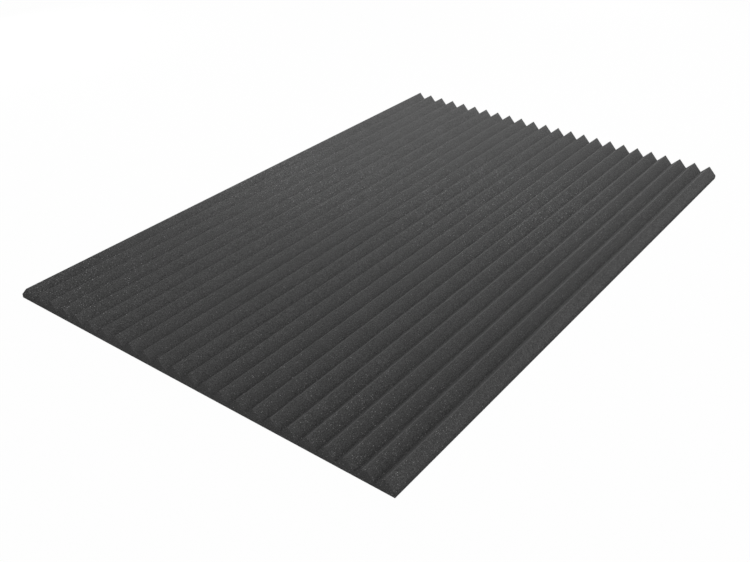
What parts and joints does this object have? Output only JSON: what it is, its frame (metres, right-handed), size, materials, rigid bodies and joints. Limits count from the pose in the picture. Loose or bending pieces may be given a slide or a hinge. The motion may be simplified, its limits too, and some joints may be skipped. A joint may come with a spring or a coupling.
{
  "type": "acoustic foam panel",
  "caption": "Charcoal open-cell foam sheet with straight sharp wedges on its face and a flat back, laid or glued flat to absorb sound.",
  "frame": {"origin": "middle of the flat back face, which lies or is glued flat", "axes": "+X across the wedges, +Y along their ridges, +Z out of the back face towards the ridges"},
  "size_m": [1, 1.5, 0.03],
  "materials": {
    "charcoal_foam": "matte open-cell polyurethane foam, dyed charcoal"
  },
  "bodies": {
    "root": {"wedge_foam_sheet": "charcoal_foam"}
  },
  "joints": []
}
